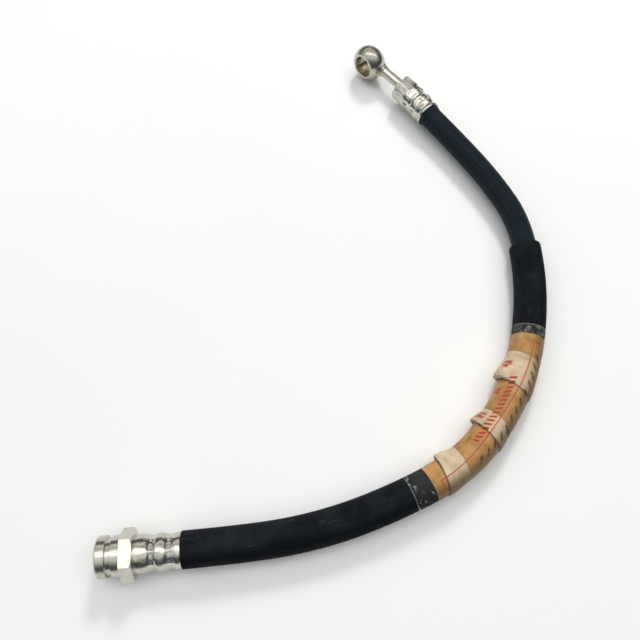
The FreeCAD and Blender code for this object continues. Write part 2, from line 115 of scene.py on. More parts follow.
BANJO_SHELL = 14.0 * MM
SOCKET_LENGTH = 6.9 * MM
SOCKET_R = 6.4 * MM
SOCKET_FLAT_R = 6.1 * MM
SOCKET_FLATS = 12
SOCKET_FLAT_TURN = math.radians(11.0)
SOCKET_NOSE_R = 5.5 * MM
SOCKET_NOSE_LENGTH = 0.6 * MM
BANJO_ROLL = math.radians(5.0)
LUG_START = 14.4 * MM
LUG_LENGTH = 6.9 * MM
LUG_HALF = 1.8 * MM
LUG_CROWN = 6.65 * MM
LUG_BASE = 5.85 * MM
LUG_GROOVE = 0.6 * MM
LUG_TURN = math.radians(22.0)
NECK_R = 2.45 * MM
NECK_ROOT = (17.9 * MM, -0.92 * MM, 0.2 * MM)
NECK_BEND = math.radians(4.8)
NECK_BORE_R = 1.4 * MM
NECK_WALL_IN_EYE = 1.0 * MM
EYE_CENTRE = 25.0 * MM
EYE_OFFSET = 2.0 * MM
EYE_LAND_R = 6.4 * MM
EYE_HALF = 4.8 * MM
EYE_BARREL_ARC = 6.43 * MM
EYE_BORE_R = 5.1 * MM
EYE_BOSS_LENGTH = 8.9 * MM
EYE_BOSS_R = 2.7 * MM
EYE_BOSS_END_R = 3.5 * MM

# The label's paper has let go of the sleeve in three places, each given by its two ends
# along the hose and its height on the left side. Going round the hose, the ends shift by
# the lean for each so many degrees.
BUCKLES = (
    (119.5 * MM, 129.3 * MM, 1.2 * MM),
    (144.0 * MM, 152.2 * MM, 1.5 * MM),
    (167.3 * MM, 182.0 * MM, 1.9 * MM),
)
BUCKLE_LEAN = 1.15 * MM
BUCKLE_LEAN_DEGREES = 60.0
LOW_FOLD = 0.45 * MM

# The label's print, in degrees from the top and in millimetres along.
RULE_START = 116.8
RULE_END = 188.6
RULE_WIDTH = 0.6
BARS = (137.6, 171.0)
BAR_PITCH = 2.1
DASHES = (133.0, 183.0)
DASH_PITCH = 4.0
SCRIBBLES = ((54.0, 175.5), (60.0, 162.5), (56.0, 149.0), (72.0, 132.0))

# ------------------------------------------------------------------ camera

CAMERA_FOOT = (0.0121, -0.1278)
CAMERA_HEIGHT = 0.262
CAMERA_DOWN = math.radians(67.5)
SENSOR_WIDTH = 36.0
LENS = 36.06


def make_camera():
    """The camera looks north and down, without roll."""
    data = bpy.data.cameras.new("camera")
    data.sensor_width = SENSOR_WIDTH
    data.lens = LENS
    data.clip_start = 0.01
    camera = bpy.data.objects.new("camera", data)
    camera.location = (*CAMERA_FOOT, CAMERA_HEIGHT)
    camera.rotation_euler = (math.pi / 2 - CAMERA_DOWN, 0.0, 0.0)
    bpy.context.scene.collection.objects.link(camera)
    bpy.context.scene.camera = camera


make_camera()

# ------------------------------------------------------------------ lines to build along


def spline_points():
    """Points on the route's smooth line, as Blender evaluates it."""
    curve = bpy.data.curves.new("route", "CURVE")
    curve.dimensions = "3D"
    curve.resolution_u = 24
    spline = curve.splines.new("NURBS")
    spline.points.add(len(ROUTE) - 1)
    for point, place in zip(spline.points, ROUTE):
        point.co = (*place, 1.0)
    spline.order_u = 3
    spline.use_endpoint_u = True
    holder = bpy.data.objects.new("route", curve)
    mesh = bpy.data.meshes.new_from_object(holder)
    points = np.array([vertex.co[:] for vertex in mesh.vertices])
    bpy.data.objects.remove(holder)
    bpy.data.curves.remove(curve)
    bpy.data.meshes.remove(mesh)
    return points


def unit(vectors):
    return vectors / np.linalg.norm(vectors, axis=-1, keepdims=True)


class HoseLine:
    """Places things round the hose: s is the length along it, and an angle of zero is up
    and a quarter turn is the left side, going from the female end to the banjo."""

    def __init__(self, points):
        self.points = points
        steps = np.linalg.norm(np.diff(points, axis=0), axis=1)
        self.lengths = np.concatenate([[0.0], np.cumsum(steps)])
        self.total = self.lengths[-1]
        self.tangents = unit(np.gradient(points, self.lengths, axis=0))

    def sample(self, values, s):
        return np.stack([np.interp(s, self.lengths, values[:, k]) for k in range(3)], axis=-1)

    def place(self, s, radius, angle):
        """s has one value a ring, and radius and angle have one a ring and column."""
        centre = self.sample(self.points, s)
        ahead = unit(self.sample(self.tangents, s))
        side = unit(np.cross([0.0, 0.0, 1.0], ahead))
        up = np.cross(ahead, side)
        out = (
            side[:, None, :] * np.sin(angle)[..., None]
            + up[:, None, :] * np.cos(angle)[..., None]
        )
        return centre[:, None, :] + out * radius[..., None]


class Axis:
    """A fitting's straight axis: x runs along ahead, side is its left and up its top."""

    def __init__(self, origin, ahead, side):
        self.origin = np.array(origin)
        self.ahead = unit(np.array(ahead))
        self.side = unit(np.array(side))
        self.up = np.cross(self.ahead, self.side)

    def place(self, x, radius, angle):
        centre = self.origin + x[:, None] * self.ahead
        out = self.side * np.sin(angle)[..., None] + self.up * np.cos(angle)[..., None]
        return centre[:, None, :] + out * radius[..., None]

    def point(self, x, side=0.0, up=0.0):
        return self.origin + self.ahead * x + self.side * side + self.up * up

    def rolled(self, turn):
        side = self.side * math.cos(turn) + self.up * math.sin(turn)
        return Axis(self.origin, self.ahead, side)

    def bent(self, place, turn):
        """A new axis that starts at place and turns to the left."""
        ahead = self.ahead * math.cos(turn) + self.side * math.sin(turn)
        side = self.side * math.cos(turn) - self.ahead * math.sin(turn)
        return Axis(self.point(*place), ahead, side)


def fitting_axis(end, before, depth):
    """The axis of a fitting whose crimp shell takes in the hose's end to that depth."""
    ahead = unit(end - before)
    return Axis(end - ahead * depth, ahead, np.cross([0.0, 0.0, 1.0], ahead))


hose_line = HoseLine(spline_points())
corners = np.array(ROUTE)
FEMALE = fitting_axis(corners[0], corners[1], FEMALE_SHELL - SHELL_WALL)
BANJO = fitting_axis(corners[-1], corners[-2], BANJO_SHELL - SHELL_WALL).rolled(BANJO_ROLL)
NECK = BANJO.bent(NECK_ROOT, NECK_BEND)
LUG = BANJO.rolled(LUG_TURN)
EYE = Axis(NECK.point(EYE_CENTRE, EYE_OFFSET), NECK.side, NECK.up)

# ------------------------------------------------------------------ mesh tools


NEARLY_STRAIGHT = math.radians(165)
TINY = 1e-9
EDGE_SHARE = 0.45


def soften(profile, size, steps=3):
    """Rounds the corners of a closed profile of (x, r) pairs. A rounding takes at most a
    share of each edge beside it."""
    count = len(profile)
    rounded = []
    for index, corner in enumerate(profile):
        before = Vector(profile[index - 1])
        here = Vector(corner)
        after = Vector(profile[(index + 1) % count])
        back = before - here
        forth = after - here
        tiny = min(back.length, forth.length) < TINY
        if tiny or back.angle(forth) > NEARLY_STRAIGHT:
            rounded.append(corner)
            continue
        reach = min(size, EDGE_SHARE * back.length, EDGE_SHARE * forth.length)
        start = here + back.normalized() * reach
        end = here + forth.normalized() * reach
        for step in range(steps + 1):
            t = step / steps
            bend = start * (1 - t) ** 2 + here * 2 * t * (1 - t) + end * t**2
            rounded.append((bend.x, bend.y))
    return rounded


def refine(profile, step):
    """Splits a closed profile's long edges."""
    fine = []
    for index, corner in enumerate(profile):
        after = profile[(index + 1) % len(profile)]
        pieces = max(1, math.ceil(math.dist(corner, after) / step))
        for piece in range(pieces):
            t = piece / pieces
            fine.append(
                (corner[0] + (after[0] - corner[0]) * t, corner[1] + (after[1] - corner[1]) * t)
            )
    return fine


def new_piece(name, points, faces, sharp):
    mesh = bpy.data.meshes.new(name)
    mesh.from_pydata(points, [], faces)
    mesh.polygons.foreach_set("use_smooth", [True] * len(mesh.polygons))
    mesh.set_sharp_from_angle(angle=math.radians(sharp))
    mesh.update()
    piece = bpy.data.objects.new(name, mesh)
    bpy.context.scene.collection.objects.link(piece)
    return piece


def skin(name, profile, line, columns, shape=None, sharp=35.0):
    """A closed solid: each point of the closed profile becomes a ring round the line.
    shape(x, r, angle) may change the radii. The UV map holds the turn, which is a half at
    the top, and x in metres."""
    x = np.array([p[0] for p in profile])
    flat = np.array([p[1] for p in profile])
    turns = np.arange(columns) / columns
    angle = np.broadcast_to((turns - 0.5) * 2 * math.pi, (len(x), columns))
    radius = np.repeat(flat[:, None], columns, axis=1)
    if shape is not None:
        radius = shape(x[:, None], radius, angle)
    points = line.place(x, radius, angle).reshape(-1, 3)
    rings = len(x)
    i, j = np.meshgrid(np.arange(rings), np.arange(columns), indexing="ij")
    k, m = (i + 1) % rings, (j + 1) % columns
    faces = np.stack([i * columns + j, i * columns + m, k * columns + m, k * columns + j], -1)
    faces = faces.reshape(-1, 4)
    turn = np.stack([j, j + 1, j + 1, j], -1).reshape(-1, 4) / columns
    along = np.stack([x[i], x[i], x[k], x[k]], -1).reshape(-1, 4)
    a, b, c, d = (points[faces[:, n]] for n in range(4))
    volume = np.einsum("ij,ij->i", a, np.cross(b, c)).sum()
    volume += np.einsum("ij,ij->i", a, np.cross(c, d)).sum()
    if volume < 0:
        faces, turn, along = faces[:, ::-1], turn[:, ::-1], along[:, ::-1]
    piece = new_piece(name, points.tolist(), faces.tolist(), sharp)
    uv = piece.data.uv_layers.new(name="UVMap")
    uv.data.foreach_set("uv", np.stack([turn.ravel(), along.ravel()], -1).ravel())
    return piece


def smooth(low, high, value):
    """0 below low and 1 above high, with a soft change between."""
    t = np.clip((value - low) / (high - low), 0.0, 1.0)
    return t * t * (3 - 2 * t)


def window(value, middle, half, edge):
    """1 inside middle plus or minus half, with soft edges."""
    return 1 - smooth(half - edge / 2, half + edge / 2, np.abs(value - middle))


def flow(points, x):
    """A smooth line through (x, value) points, for a pressed outline."""
    px = np.array([p[0] for p in points])
    py = np.array([p[1] for p in points])
    slopes = np.gradient(py, px)
    k = np.clip(np.searchsorted(px, x) - 1, 0, len(px) - 2)
    width = px[k + 1] - px[k]
    t = np.clip((x - px[k]) / width, 0.0, 1.0)
    return (
        py[k] * (2 * t**3 - 3 * t**2 + 1)
        + slopes[k] * width * (t**3 - 2 * t**2 + t)
        + py[k + 1] * (3 * t**2 - 2 * t**3)
        + slopes[k + 1] * width * (t**3 - t**2)
    )


# ------------------------------------------------------------------ shader tools


class Nodes:
    """Adds shader nodes to one tree."""

    def __init__(self, tree):
        self.tree = tree

    def add(self, kind, **settings):
        node = self.tree.nodes.new(kind)
        for key, value in settings.items():
            setattr(node, key, value)
        return node

    def put(self, socket, value):
        if isinstance(value, bpy.types.NodeSocket):
            self.tree.links.new(value, socket)
        elif isinstance(value, tuple) and len(value) == 3 and len(socket.default_value) == 4:
            socket.default_value = (*value, 1.0)
        else:
            socket.default_value = value

    def math(self, operation, a, b=0.0, c=0.0):
        node = self.add("ShaderNodeMath", operation=operation)
        for socket, value in zip(node.inputs, (a, b, c)):
            self.put(socket, value)
        return node.outputs[0]

    def times(self, *values):
        product = values[0]
        for value in values[1:]:
            product = self.math("MULTIPLY", product, value)
        return product

    def either(self, *values):
        most = values[0]
        for value in values[1:]:
            most = self.math("MAXIMUM", most, value)
        return most

    def step(self, value, low, high):
        """0 below low and 1 above high; low may be the larger one."""
        node = self.add("ShaderNodeMapRange", interpolation_type="SMOOTHSTEP")
        ends = (low, high, 0.0, 1.0) if low < high else (high, low, 1.0, 0.0)
        for socket, number in zip(node.inputs, (value, *ends)):
            self.put(socket, number)
        return node.outputs[0]

    def band(self, value, low, high, edge):
        rise = self.step(value, low - edge / 2, low + edge / 2)
        return self.times(rise, self.step(value, high + edge / 2, high - edge / 2))

    def ramp(self, value, *stops):
        """A smooth map of value to colours or greys, from (position, colour) stops."""
        node = self.add("ShaderNodeValToRGB")
        self.put(node.inputs[0], value)
        elements = node.color_ramp.elements
        while len(elements) < len(stops):
            elements.new(0.5)
        for element, (position, colour) in zip(elements, stops):
            element.position = position
            grey = isinstance(colour, (int, float))
            element.color = (colour,) * 3 + (1.0,) if grey else (*colour, 1.0)
        return node.outputs[0]

    def mix(self, factor, a, b):
        node = self.add("ShaderNodeMix", data_type="RGBA")
        for index, value in ((0, factor), (6, a), (7, b)):
            self.put(node.inputs[index], value)
        return node.outputs[2]


class Paint(Nodes):
    """Builds one material."""

    def __init__(self, name):
        self.material = bpy.data.materials.new(name)
        self.material.use_nodes = True
        super().__init__(self.material.node_tree)
        self.tree.nodes.clear()
        output = self.add("ShaderNodeOutputMaterial")
        self.surface = self.add("ShaderNodeBsdfPrincipled")
        self.tree.links.new(self.surface.outputs["BSDF"], output.inputs["Surface"])
        self.coordinates = self.add("ShaderNodeTexCoord")

    def skin_space(self, around, along):
        """The UV map scaled: cycles a turn, and cycles a metre."""
        node = self.add("ShaderNodeMapping")
        self.put(node.inputs["Vector"], self.coordinates.outputs["UV"])
        node.inputs["Scale"].default_value = (around, along, 1.0)
        return node.outputs[0]

    def angle_and_along(self):
        """The angle from the top in degrees, positive on the left, and millimetres along."""
        node = self.add("ShaderNodeSeparateXYZ")
        self.put(node.inputs[0], self.coordinates.outputs["UV"])
        angle = self.math("MULTIPLY_ADD", node.outputs[0], 360.0, -180.0)
        return angle, self.math("MULTIPLY", node.outputs[1], 1.0 / MM)

    def noise(self, scale, detail=4.0, rough=0.5, vector=None):
        node = self.add("ShaderNodeTexNoise")
        self.put(node.inputs["Vector"], vector or self.coordinates.outputs["Object"])
        self.put(node.inputs["Scale"], scale)
        self.put(node.inputs["Detail"], detail)
        self.put(node.inputs["Roughness"], rough)
        return node.outputs[0]

    def specks(self, scale):
        node = self.add("ShaderNodeTexVoronoi")
        self.put(node.inputs["Vector"], self.coordinates.outputs["Object"])
        self.put(node.inputs["Scale"], scale)
        return node.outputs["Distance"]

    def inside(self, line, radius):
        """1 nearer to the line's axis than the radius."""
        offset = self.add("ShaderNodeVectorMath", operation="SUBTRACT")
        self.put(offset.inputs[0], self.coordinates.outputs["Object"])
        offset.inputs[1].default_value = tuple(line.origin)
        across = self.add("ShaderNodeVectorMath", operation="CROSS_PRODUCT")
        self.put(across.inputs[0], offset.outputs[0])
        across.inputs[1].default_value = tuple(line.ahead)
        length = self.add("ShaderNodeVectorMath", operation="LENGTH")
        self.put(length.inputs[0], across.outputs[0])
        return self.step(length.outputs["Value"], radius, radius - 0.05 * MM)

    def bump(self, height, distance, strength=1.0, under=None):
        node = self.add("ShaderNodeBump")
        self.put(node.inputs["Height"], height)
        self.put(node.inputs["Distance"], distance)
        self.put(node.inputs["Strength"], strength)
        if under is not None:
            self.put(node.inputs["Normal"], under)
        return node.outputs[0]

    def finish(self, **values):
        for key, value in values.items():
            self.put(self.surface.inputs[key.replace("_", " ")], value)
        return self.material


# ------------------------------------------------------------------ materials


def plated_steel(name, tone, roughness, marks, marks_depth, dents, dents_depth, bore=None):
    """Bright zinc plate with clouds, stains, turning lines and shallow dents. marks is the
    number of turning lines a metre along the skin, dents is the dents' noise scale, and each
    depth is in metres. Inside a bore, given as an axis and a radius, the colour is made
    darker and browner: painted shade in the bore."""
    paint = Paint(name)
    cloud = paint.noise(260.0, 5.0, 0.6)
    stain = paint.noise(900.0, 3.0, 0.6)
    warm = tuple(c * k for c, k in zip(tone, (0.88, 0.85, 0.74)))
    pale = tuple(min(1.0, c * 1.12) for c in tone)
    colour = paint.ramp(cloud, (0.3, warm), (0.52, tone), (0.75, pale))
    grime = paint.ramp(stain, (0.28, 0.25), (0.42, 0.0))
    colour = paint.mix(grime, colour, (0.16, 0.14, 0.10))
    if bore is not None:
        # Painted shade: the colour inside the bore is darker and browner.
        colour = paint.mix(paint.inside(*bore), colour, (0.42, 0.385, 0.26))
    lines = paint.noise(1.0, 3.0, 0.7, paint.skin_space(2.0, marks))
    rough = paint.ramp(lines, (0.3, roughness * 0.75), (0.7, roughness * 1.35))
    normal = paint.bump(lines, marks_depth)
    normal = paint.bump(paint.noise(dents, 3.0), dents_depth, 0.8, normal)
    normal = paint.bump(paint.noise(2600.0, 2.0), 0.00002, 0.6, normal)
    return paint.finish(Base_Color=colour, Metallic=1.0, Roughness=rough, Normal=normal)


def braze_metal():
    paint = Paint("braze")
    cloud = paint.noise(700.0, 4.0)
    colour = paint.ramp(cloud, (0.3, (0.34, 0.31, 0.24)), (0.7, (0.52, 0.49, 0.40)))
    normal = paint.bump(paint.noise(1500.0, 3.0), 0.00006)
    return paint.finish(Base_Color=colour, Metallic=1.0, Roughness=0.26, Normal=normal)


def cover_rubber():
    """Near black extruded rubber with fine lengthwise lines."""
    paint = Paint("cover_rubber")
    lines = paint.noise(1.0, 4.0, 0.65, paint.skin_space(46.0, 9.0))
    cloud = paint.noise(120.0, 4.0)
    colour = paint.ramp(lines, (0.40, (0.002, 0.006, 0.010)), (0.62, (0.009, 0.017, 0.025)))
    dust = paint.ramp(cloud, (0.5, 0.0), (0.8, 0.3))
    colour = paint.mix(dust, colour, (0.022, 0.03, 0.035))
    rough = paint.ramp(lines, (0.3, 0.45), (0.7, 0.65))
    grain = paint.bump(paint.noise(2400.0, 3.0), 0.00003)
    normal = paint.bump(lines, 0.0003, 1.0, grain)
    return paint.finish(
        Base_Color=colour, Roughness=rough, Normal=normal, Specular_IOR_Level=0.15
    )


def sleeve_rubber():
    """Matt black rubber, dusty and scuffed, with pale specks and fine moulding lines. The dust
    and scuffs lie only on the top and left side: partly real dust, partly painted light that
    makes that side lighter and leaves the underside darker as painted shade.
    """
    paint = Paint("sleeve_rubber")
    cloud = paint.noise(75.0, 6.0, 0.62)
    streak = paint.noise(1.0, 4.0, 0.6, paint.skin_space(16.0, 30.0))
    base = paint.ramp(streak, (0.3, (0.002, 0.003, 0.0045)), (0.7, (0.005, 0.007, 0.0095)))
    angle, _ = paint.angle_and_along()
    # Dust and scuffs only on the top and left side: painted light there, painted shade below.
    upper = paint.band(angle, -25.0, 85.0, 40.0)
    dust = paint.ramp(cloud, (0.40, 0.15), (0.70, 0.9))
    colour = paint.mix(paint.times(dust, upper, 0.8), base, (0.019, 0.026, 0.030))
    scuffs = paint.noise(1.0, 5.0, 0.7, paint.skin_space(9.0, 38.0))
    scuffs = paint.times(paint.ramp(scuffs, (0.60, 0.0), (0.72, 0.8)), upper)
    colour = paint.mix(scuffs, colour, (0.075, 0.072, 0.062))
    speck = paint.ramp(paint.specks(620.0), (0.0, 1.0), (0.10, 0.0))
    speck = paint.times(speck, paint.ramp(cloud, (0.47, 0.0), (0.57, 0.6)))
    colour = paint.mix(speck, colour, (0.16, 0.16, 0.145))
    rough = paint.ramp(cloud, (0.35, 0.60), (0.65, 0.80))
    grain = paint.bump(paint.noise(1500.0, 4.0, 0.6), 0.00005)
    normal = paint.bump(streak, 0.00010, 0.8, grain)
    return paint.finish(
        Base_Color=colour, Roughness=rough, Normal=normal, Specular_IOR_Level=0.07
    )


def paper_ground(paint, angle, leaned, fibres, blotch, creases):
    """Bare paper, ochre where the tape has wetted it against the sleeve and cream where it
    has buckled away, with painted shade on its right side, in its creases and at each
    buckle's ends. Returns its colour, and where it is lifted."""
    stuck = paint.ramp(blotch, (0.34, (0.32, 0.150, 0.030)), (0.66, (0.54, 0.285, 0.075)))
    stuck = paint.mix(paint.ramp(fibres, (0.45, 0.0), (0.8, 0.45)), stuck, (0.56, 0.36, 0.14))
    cream = paint.ramp(blotch, (0.34, (0.56, 0.42, 0.25)), (0.66, (0.72, 0.59, 0.41)))
    lifted = 0.0
    pleat_shadows = 0.0
    for low, high, _ in BUCKLES:
        low, high = low / MM, high / MM
        lifted = paint.either(lifted, paint.band(leaned, low, high, 0.25))
        # Painted shadow: a dark line where each buckle drops back onto the sleeve, and a fainter
        # one at its top edge.
        pleat_shadows = paint.either(pleat_shadows, paint.band(leaned, low - 0.3, low + 0.2, 0.3))
        top = paint.band(leaned, high - 0.2, high + 0.2, 0.3)
        pleat_shadows = paint.either(pleat_shadows, paint.times(top, 0.7))
    # Painted shade in the creases of the cream paper.
    crease_shade = paint.ramp(creases, (0.36, 0.42), (0.46, 0.0))
    cream = paint.mix(crease_shade, cream, (0.36, 0.25, 0.13))
    colour = paint.mix(lifted, stuck, cream)
    # Painted shade: the right side of the paper is darkened towards dark brown.
    shaded_right_side = paint.times(paint.step(angle, -4.0, -52.0), 0.9)
    colour = paint.mix(shaded_right_side, colour, (0.17, 0.095, 0.03))
    colour = paint.mix(paint.times(pleat_shadows, 0.8), colour, (0.06, 0.035, 0.018))
    return colour, lifted


def red_print(paint, colour, angle, along):
    """A thin rule that swings a little and turns back at both ends, a row of slanted bars
    and four scribbled spots."""
    swing = paint.math("COSINE", paint.math("MULTIPLY_ADD", along, 0.09, -13.3))
    off_rule = paint.math("SUBTRACT", angle, paint.math("MULTIPLY_ADD", swing, 6.0, -4.0))
    whole = paint.band(along, RULE_START, RULE_END, 0.3)
    rule = paint.times(paint.band(off_rule, -2.0, 2.0, 1.2), whole)
    halo = paint.times(paint.band(off_rule, -7.0, -2.0, 2.0), whole, 0.28)
    colour = paint.mix(halo, colour, (0.62, 0.20, 0.13))
    returns = paint.either(
        paint.band(along, RULE_START, RULE_START + RULE_WIDTH, 0.3),
        paint.band(along, RULE_END - RULE_WIDTH, RULE_END, 0.3),
    )
    returns = paint.times(returns, paint.band(off_rule, -100.0, 2.0, 2.0))
    red = paint.times(paint.either(rule, returns), 0.8)

    slanted = paint.math("MULTIPLY_ADD", angle, 0.07, along)
    hatch = paint.math("FRACT", paint.math("MULTIPLY", slanted, 1 / BAR_PITCH))
    bars = paint.times(
        paint.band(angle, 11.0, 31.0, 2.0),
        paint.band(along, *BARS, 0.3),
        paint.band(hatch, 0.22, 0.78, 0.14),
    )
    red = paint.either(red, paint.times(bars, 0.95))
    for spot_angle, spot_along in SCRIBBLES:
        spot = paint.times(
            paint.band(angle, spot_angle - 13.0, spot_angle + 13.0, 6.0),
            paint.band(along, spot_along - 1.9, spot_along + 1.9, 0.8),
            paint.ramp(paint.noise(650.0, 3.0, 0.6), (0.40, 0.0), (0.46, 0.9)),
        )
        red = paint.either(red, spot)
    return paint.mix(red, colour, (0.40, 0.03, 0.017))


def dark_print_and_gap_shade(paint, colour, angle, along, leaned):
    """A row of short faded dashes, and the dark gap under the middle buckle, which is painted
    shade.
    """
    sheared = paint.math("MULTIPLY_ADD", angle, -0.10, along)
    dashes = paint.math("FRACT", paint.math("MULTIPLY", sheared, 1 / DASH_PITCH))
    print_and_gap_shade = paint.times(
        paint.band(dashes, 0.3, 0.58, 0.10),
        paint.band(angle, -45.0, -24.0, 4.0),
        paint.band(along, *DASHES, 0.4),
        paint.ramp(paint.noise(900.0, 2.0), (0.32, 0.0), (0.40, 1.0)),
    )
    # Painted shade: a dark patch on the right side near the middle buckle's top end, where the
    # paper stands away.
    gap = paint.times(
        paint.band(leaned, 149.6, 151.4, 0.5), paint.band(angle, -62.0, -40.0, 8.0)
    )
    print_and_gap_shade = paint.either(print_and_gap_shade, gap)
    return paint.mix(paint.times(print_and_gap_shade, 0.88), colour, (0.03, 0.018, 0.012))


def label_paper():
    """Printed paper under tape, with painted highlights (pale glint streaks) where it is stuck
    down.
    """
    paint = Paint("label_paper")
    angle, along = paint.angle_and_along()
    fibres = paint.noise(1.0, 5.0, 0.6, paint.skin_space(30.0, 60.0))
    blotch = paint.noise(190.0, 5.0, 0.6)
    creases = paint.noise(1.0, 4.0, 0.6, paint.skin_space(7.0, 380.0))
    lean = -BUCKLE_LEAN / MM / BUCKLE_LEAN_DEGREES
    leaned = paint.math("MULTIPLY_ADD", angle, lean, along)
    colour, lifted = paper_ground(paint, angle, leaned, fibres, blotch, creases)
    colour = red_print(paint, colour, angle, along)
    colour = dark_print_and_gap_shade(paint, colour, angle, along, leaned)

    # Painted highlights: pale streaks mixed into the colour of the stuck parts.
    painted_glints = paint.noise(1.0, 4.0, 0.65, paint.skin_space(55.0, 45.0))
    painted_glints = paint.ramp(painted_glints, (0.60, 0.0), (0.70, 0.4))
    painted_glints = paint.times(painted_glints, paint.step(lifted, 0.6, 0.2))
    colour = paint.mix(painted_glints, colour, (0.72, 0.58, 0.38))

    normal = paint.bump(paint.noise(1500.0, 3.0), 0.00003)
    normal = paint.bump(fibres, 0.00022, 0.9, normal)
    normal = paint.bump(creases, 0.0006, 0.7, normal)
    normal = paint.bump(blotch, 0.0004, 0.6, normal)
    return paint.finish(
        Base_Color=colour,
        Roughness=0.65,
        Normal=normal,
        Specular_IOR_Level=0.2,
        Coat_Weight=paint.math("MULTIPLY_ADD", lifted, -0.3, 0.36),
        Coat_Roughness=0.2,
    )


def clear_film():
    """Clear tape, milky with trapped air where it sticks to the rubber; below the label its
    creases carry whitish streaks that are painted highlights.
    """
    paint = Paint("clear_film")
    _, along = paint.angle_and_along()
    bubbles = paint.noise(420.0, 5.0, 0.7)
    creases = paint.noise(1.0, 4.0, 0.6, paint.skin_space(9.0, 420.0))
    upper = paint.step(along, LABEL_END / MM, LABEL_END / MM + 0.4)
    lower = paint.step(along, LABEL_START / MM, LABEL_START / MM - 0.4)
    milk = paint.times(upper, paint.ramp(bubbles, (0.47, 0.01), (0.62, 0.15)))
    # Painted highlights: whitish streaks along the creases below the label.
    wrinkle_glints = paint.times(lower, paint.ramp(creases, (0.58, 0.0), (0.65, 0.36)))
    edge = paint.either(
        paint.step(along, TAPE_END / MM - 0.5, TAPE_END / MM - 0.2),
        paint.step(along, TAPE_START / MM + 0.5, TAPE_START / MM + 0.2),
    )
    alpha = paint.either(milk, wrinkle_glints, paint.times(edge, 0.14), 0.015)
    normal = paint.bump(creases, 0.0004)
    normal = paint.bump(bubbles, 0.0002, 1.0, normal)
    colour = paint.mix(bubbles, (0.52, 0.50, 0.44), (0.78, 0.77, 0.72))
    return paint.finish(
        Base_Color=colour, Roughness=0.14, Normal=normal, Alpha=alpha, Specular_IOR_Level=0.35
    )


def floor_paper():
    paint = Paint("floor_paper")
    cloud = paint.noise(6.0, 3.0)
    colour = paint.ramp(cloud, (0.3, (0.895, 0.9, 0.9)), (0.7, (0.92, 0.92, 0.92)))
    normal = paint.bump(paint.noise(900.0, 3.0), 0.00002)
    return paint.finish(
        Base_Color=colour, Roughness=0.95, Normal=normal, Specular_IOR_Level=0.1
    )


ZINC = (0.60, 0.585, 0.53)
EYE_ZINC = (0.50, 0.485, 0.43)
FORGED_ZINC = (0.54, 0.525, 0.475)
# The eye's bore, inside which plated_steel paints shade.
EYE_BORE_SHADE = (EYE, EYE_BORE_R + 0.12 * MM)
STEEL = {
    "turned": plated_steel("plated_turned", ZINC, 0.23, 2600.0, 0.00003, 180.0, 0.0001),
    "pressed": plated_steel("plated_pressed", ZINC, 0.20, 700.0, 0.00002, 420.0, 0.00028),
    "eye": plated_steel("plated_eye", EYE_ZINC, 0.22, 900.0, 0.00005, 170.0, 0.0007, EYE_BORE_SHADE),
    "forged": plated_steel("plated_forged", FORGED_ZINC, 0.23, 500.0, 0.00003, 260.0, 0.0004),
}
BRAZE = braze_metal()
COVER = cover_rubber()
SLEEVE = sleeve_rubber()
LABEL = label_paper()
FILM_LOOK = clear_film()


def settle(piece, material, slot, *nodes):
    """Gives a piece its material and body, and hides the CAD nodes it stands for. slot is not used.
    """
    piece.data.materials.append(material)
    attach(piece, "root")
    if nodes:
        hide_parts(*nodes)
    return piece


# ------------------------------------------------------------------ the hose and sleeve


def hose_cover():
    """The hose, swollen a little where the banjo end's shell squeezes it."""
    end = hose_line.total
    mouth = end - (BANJO_SHELL - SHELL_WALL)
    ring = [(0.0, BORE_R), (0.0, COVER_R), (end, COVER_R), (end, BORE_R)]

    def shape(x, r, angle):
        from_middle = (x - mouth + SWELLING_OFFSET) / SWELLING_LENGTH
        outside = r > (BORE_R + COVER_R) / 2
        return np.where(outside, r + SWELLING * np.exp(-(from_middle**2)), r)

    profile = refine(soften(ring, 0.3 * MM), 1.0 * MM)
    piece = skin("hose", profile, hose_line, 72, shape)
    return settle(
        piece,
        COVER,
        "cover_rubber",
        "hose_outer_cover",
        "hose_outer_braid",
        "hose_middle_rubber",
        "hose_inner_braid",
        "hose_inner_liner",
    )


def sleeve():
    """The thicker rubber sleeve, from the female end's shell to past the label."""
    start = FEMALE_SHELL - SHELL_WALL + 0.05 * MM
    inner = COVER_R + 0.02 * MM
    ring = [(start, inner), (start, SLEEVE_R), (SLEEVE_END, SLEEVE_R), (SLEEVE_END, inner)]
    profile = refine(soften(ring, 0.5 * MM), 1.5 * MM)
    piece = skin("sleeve", profile, hose_line, 80)
    return settle(piece, SLEEVE, "sleeve_rubber", "protective_sleeve")


def paper_lift(x, angle):
    """How far the buckled paper stands off the sleeve: a low fold all round, and a lobe
    on the left side that flares toward its lower end and stops short there."""
    lift = np.zeros(np.broadcast(x, angle).shape)
    leaned = x - BUCKLE_LEAN * np.degrees(angle) / BUCKLE_LEAN_DEGREES
    lobe = window(np.degrees(angle), 82.0, 52.0, 64.0)
    lobe = lobe * (1 + 0.10 * np.sin(9 * angle + 700 * x) + 0.06 * np.sin(17 * angle - 1500 * x))
    off_floor = 1 - smooth(130.0, 165.0, np.abs((np.degrees(angle) + 180.0) % 360.0 - 180.0))
    for low, high, height in BUCKLES:
        t = (leaned - low) / (high - low)
        rise = smooth(0.0, 0.035, t) * (1 - smooth(0.12, 1.0, t))
        lift = lift + rise * (LOW_FOLD * off_floor + height * lobe)
    return lift


